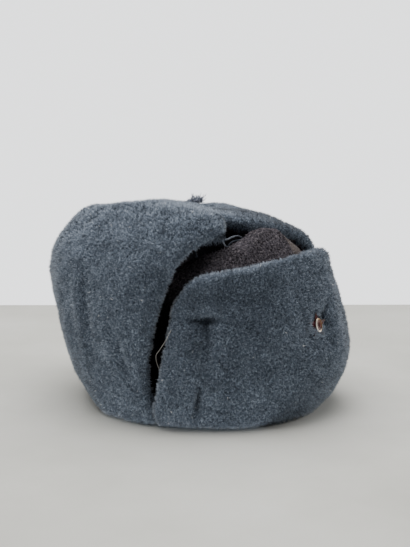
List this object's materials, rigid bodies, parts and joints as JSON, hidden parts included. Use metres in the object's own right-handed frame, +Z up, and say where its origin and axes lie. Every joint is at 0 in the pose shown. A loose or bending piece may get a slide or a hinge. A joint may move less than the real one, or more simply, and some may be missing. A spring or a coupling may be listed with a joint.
{
  "type": "ushanka winter hat",
  "caption": "Winter hat of padded pile cloth with its ear flaps folded up over a soft wool crown, a small star badge on the front flap and thin ties.",
  "frame": {"origin": "on the surface that the hat rests on, under the middle of its bounding box", "axes": "+X towards the wearer's left, +Y towards the back of the head, +Z up; the forehead is towards -Y"},
  "size_m": [0.2256, 0.2548, 0.1698],
  "materials": {
    "pile_cloth": "blue-grey short synthetic pile, matt, lighter at the tips",
    "crown_wool": "brown-grey heathered wool cloth, matt",
    "badge_enamel": "red enamel on stamped gilt brass",
    "tie_cord": "thin round blue-grey cotton cord"
  },
  "bodies": {
    "root": {"crown": "crown_wool", "front_flap": "pile_cloth", "ear_and_neck_flap": "pile_cloth", "badge": "badge_enamel", "right_tie": "tie_cord", "left_tie": "tie_cord", "frayed_end": "tie_cord"}
  },
  "joints": []
}
